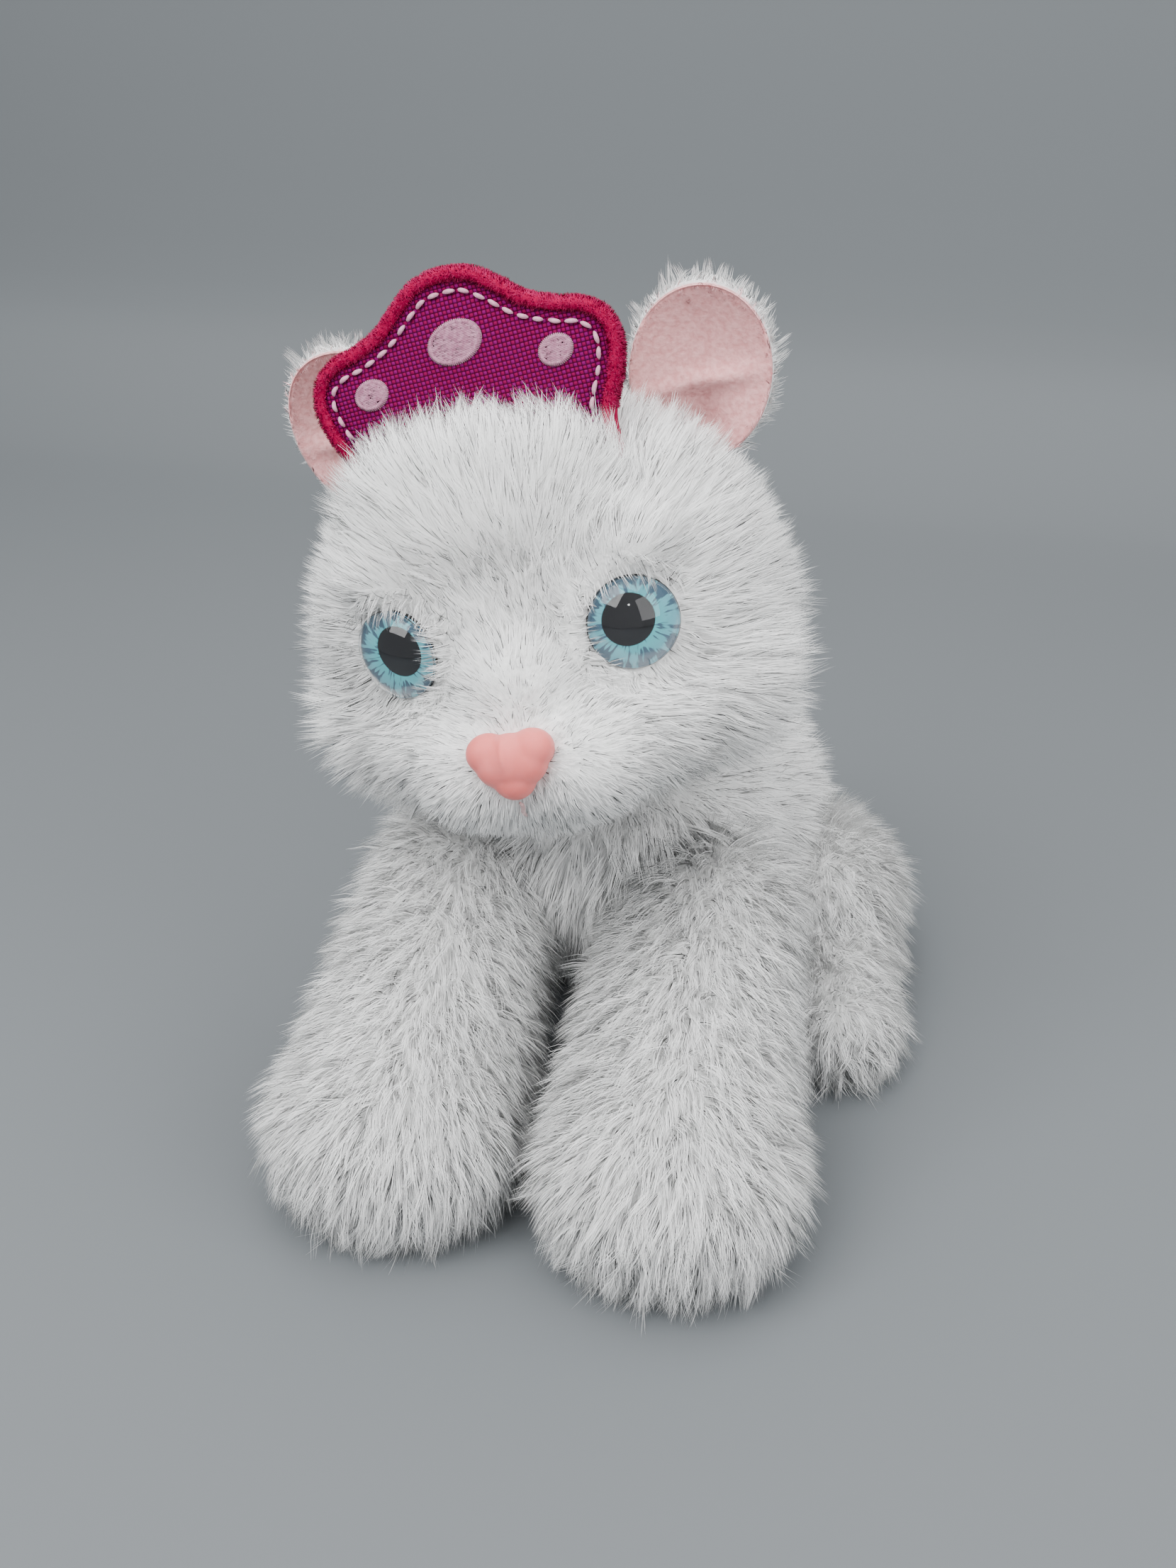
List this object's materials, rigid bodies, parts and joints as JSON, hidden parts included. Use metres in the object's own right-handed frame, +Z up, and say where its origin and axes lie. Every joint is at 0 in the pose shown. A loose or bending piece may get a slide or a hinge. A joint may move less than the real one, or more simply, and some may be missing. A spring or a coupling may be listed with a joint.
{
  "type": "interactive plush pet",
  "caption": "Long-pile white plush kitten lying on its belly, with plastic safety eyes, a padded magenta tiara and a press-button sound unit in a belly pocket.",
  "frame": {"origin": "centre of the box at the surface it lies on", "axes": "+Z up, the kitten faces -Y and its own left side is +X"},
  "size_m": [0.142, 0.2414, 0.202],
  "materials": {
    "white_plush": "long white pile",
    "short_plush": "short white pile",
    "pink_plush": "short pale pink pile",
    "pellets": "moulded granules",
    "padding": "thin wadding",
    "stuffing": "polyester fibre",
    "eye_clear": "clear moulded plastic dome",
    "eye_print": "printed turquoise iris with a black pupil",
    "black_plastic": "black moulding",
    "washer_plastic": "natural moulding",
    "nose_plastic": "satin pink moulding",
    "pink_thread": "embroidery thread",
    "tiara_felt": "crimson brushed cloth",
    "tiara_weave": "coarse magenta weave",
    "tiara_thread": "pale pink embroidery thread",
    "case_plastic": "white moulding",
    "button_plastic": "red moulding",
    "spring_steel": "plated spring steel",
    "screw_steel": "plated steel",
    "cell_steel": "nickel-plated cells",
    "board": "printed circuit board",
    "cone_film": "thin moulded film",
    "magnet": "plated magnet",
    "lining_cloth": "plain white cloth",
    "closure_tape": "hook and loop tape"
  },
  "bodies": {
    "torso": {"battery_contacts": "spring_steel", "battery_door": "case_plastic", "button_cells": "cell_steel", "button_spring": "spring_steel", "case_screws": "screw_steel", "circuit_board": "board", "door_screw": "screw_steel", "loop_tape": "closure_tape", "pocket_facing": "lining_cloth", "rump_pellets": "pellets", "speaker_cone": "cone_film", "speaker_frame": "black_plastic", "speaker_magnet": "magnet", "torso_skin": "white_plush", "torso_stuffing": "stuffing", "unit_base": "case_plastic", "unit_cover": "case_plastic", "unit_pouch": "lining_cloth"},
    "neck": {"neck_stuffing": "stuffing"},
    "head": {"eye_left_base": "black_plastic", "eye_left_iris": "eye_print", "eye_left_lens": "eye_clear", "eye_left_washer": "washer_plastic", "eye_right_base": "black_plastic", "eye_right_iris": "eye_print", "eye_right_lens": "eye_clear", "eye_right_washer": "washer_plastic", "head_skin": "white_plush", "head_stuffing": "stuffing", "mouth_stitch": "pink_thread", "muzzle_skin": "short_plush", "muzzle_stuffing": "stuffing", "nose": "nose_plastic", "nose_washer": "washer_plastic", "tiara_back": "tiara_felt", "tiara_dots": "tiara_thread", "tiara_front": "tiara_weave", "tiara_padding": "padding", "tiara_stitching": "tiara_thread"},
    "ear_left": {"ear_left_back": "white_plush", "ear_left_front": "pink_plush"},
    "ear_right": {"ear_right_back": "white_plush", "ear_right_front": "pink_plush"},
    "front_leg_left": {"front_leg_left_pellets": "pellets", "front_leg_left_skin": "white_plush", "front_leg_left_stuffing": "stuffing"},
    "front_leg_right": {"front_leg_right_pellets": "pellets", "front_leg_right_skin": "white_plush", "front_leg_right_stuffing": "stuffing"},
    "hind_leg_left": {"hind_leg_left_pellets": "pellets", "hind_leg_left_skin": "white_plush", "hind_leg_left_stuffing": "stuffing"},
    "hind_leg_right": {"hind_leg_right_pellets": "pellets", "hind_leg_right_skin": "white_plush", "hind_leg_right_stuffing": "stuffing"},
    "tail": {"tail_skin": "white_plush", "tail_stuffing": "stuffing"},
    "press_button": {"press_button": "button_plastic"},
    "access_flap": {"access_flap": "lining_cloth", "hook_tape": "closure_tape"}
  },
  "joints": [
    {"name": "neck_turn", "type": "hinge", "parent": "torso", "child": "neck", "pos_m": [-0.01381, -0.04099, 0.09237], "axis": [0, 0, 1], "range_deg": [-20, 20], "stiffness_Nm_per_rad": 0.6},
    {"name": "head_nod", "type": "hinge", "parent": "neck", "child": "head", "pos_m": [-0.01381, -0.04099, 0.09237], "axis": [1, 0, 0], "range_deg": [-8, 10], "stiffness_Nm_per_rad": 2},
    {"name": "ear_left_fold", "type": "hinge", "parent": "head", "child": "ear_left", "pos_m": [0.02016, -0.03887, 0.16224], "axis": [0.9932, 0.1044, -0.0523], "range_deg": [-20, 20], "stiffness_Nm_per_rad": 0.03},
    {"name": "ear_right_fold", "type": "hinge", "parent": "head", "child": "ear_right", "pos_m": [-0.04326, -0.04554, 0.14868], "axis": [0.8861, 0.0931, 0.454], "range_deg": [-20, 20], "stiffness_Nm_per_rad": 0.03},
    {"name": "front_leg_left_swing", "type": "hinge", "parent": "torso", "child": "front_leg_left", "pos_m": [0.029, -0.0533, 0.058], "axis": [-1, 0, 0], "range_deg": [0, 35]},
    {"name": "front_leg_right_swing", "type": "hinge", "parent": "torso", "child": "front_leg_right", "pos_m": [-0.029, -0.0533, 0.058], "axis": [-1, 0, 0], "range_deg": [0, 35]},
    {"name": "hind_leg_left_swing", "type": "hinge", "parent": "torso", "child": "hind_leg_left", "pos_m": [0.046, 0.0247, 0.0194], "axis": [-1, 0, 0], "range_deg": [0, 30]},
    {"name": "hind_leg_right_swing", "type": "hinge", "parent": "torso", "child": "hind_leg_right", "pos_m": [-0.046, 0.0247, 0.0194], "axis": [-1, 0, 0], "range_deg": [0, 30]},
    {"name": "tail_wag", "type": "hinge", "parent": "torso", "child": "tail", "pos_m": [0, 0.0627, 0.02], "axis": [0, 0, 1], "range_deg": [-25, 25]},
    {"name": "access_flap_open", "type": "hinge", "parent": "torso", "child": "access_flap", "pos_m": [0, -0.02858, 0.02438], "axis": [-1, 0, 0], "range_deg": [0, 80]},
    {"name": "button_press", "type": "slide", "parent": "torso", "child": "press_button", "axis": [0, -0.7071, -0.7071], "range_m": [0, 0.0012], "stiffness_N_per_m": 300, "springref_m": -0.002, "deforming": ["button_spring"]}
  ]
}
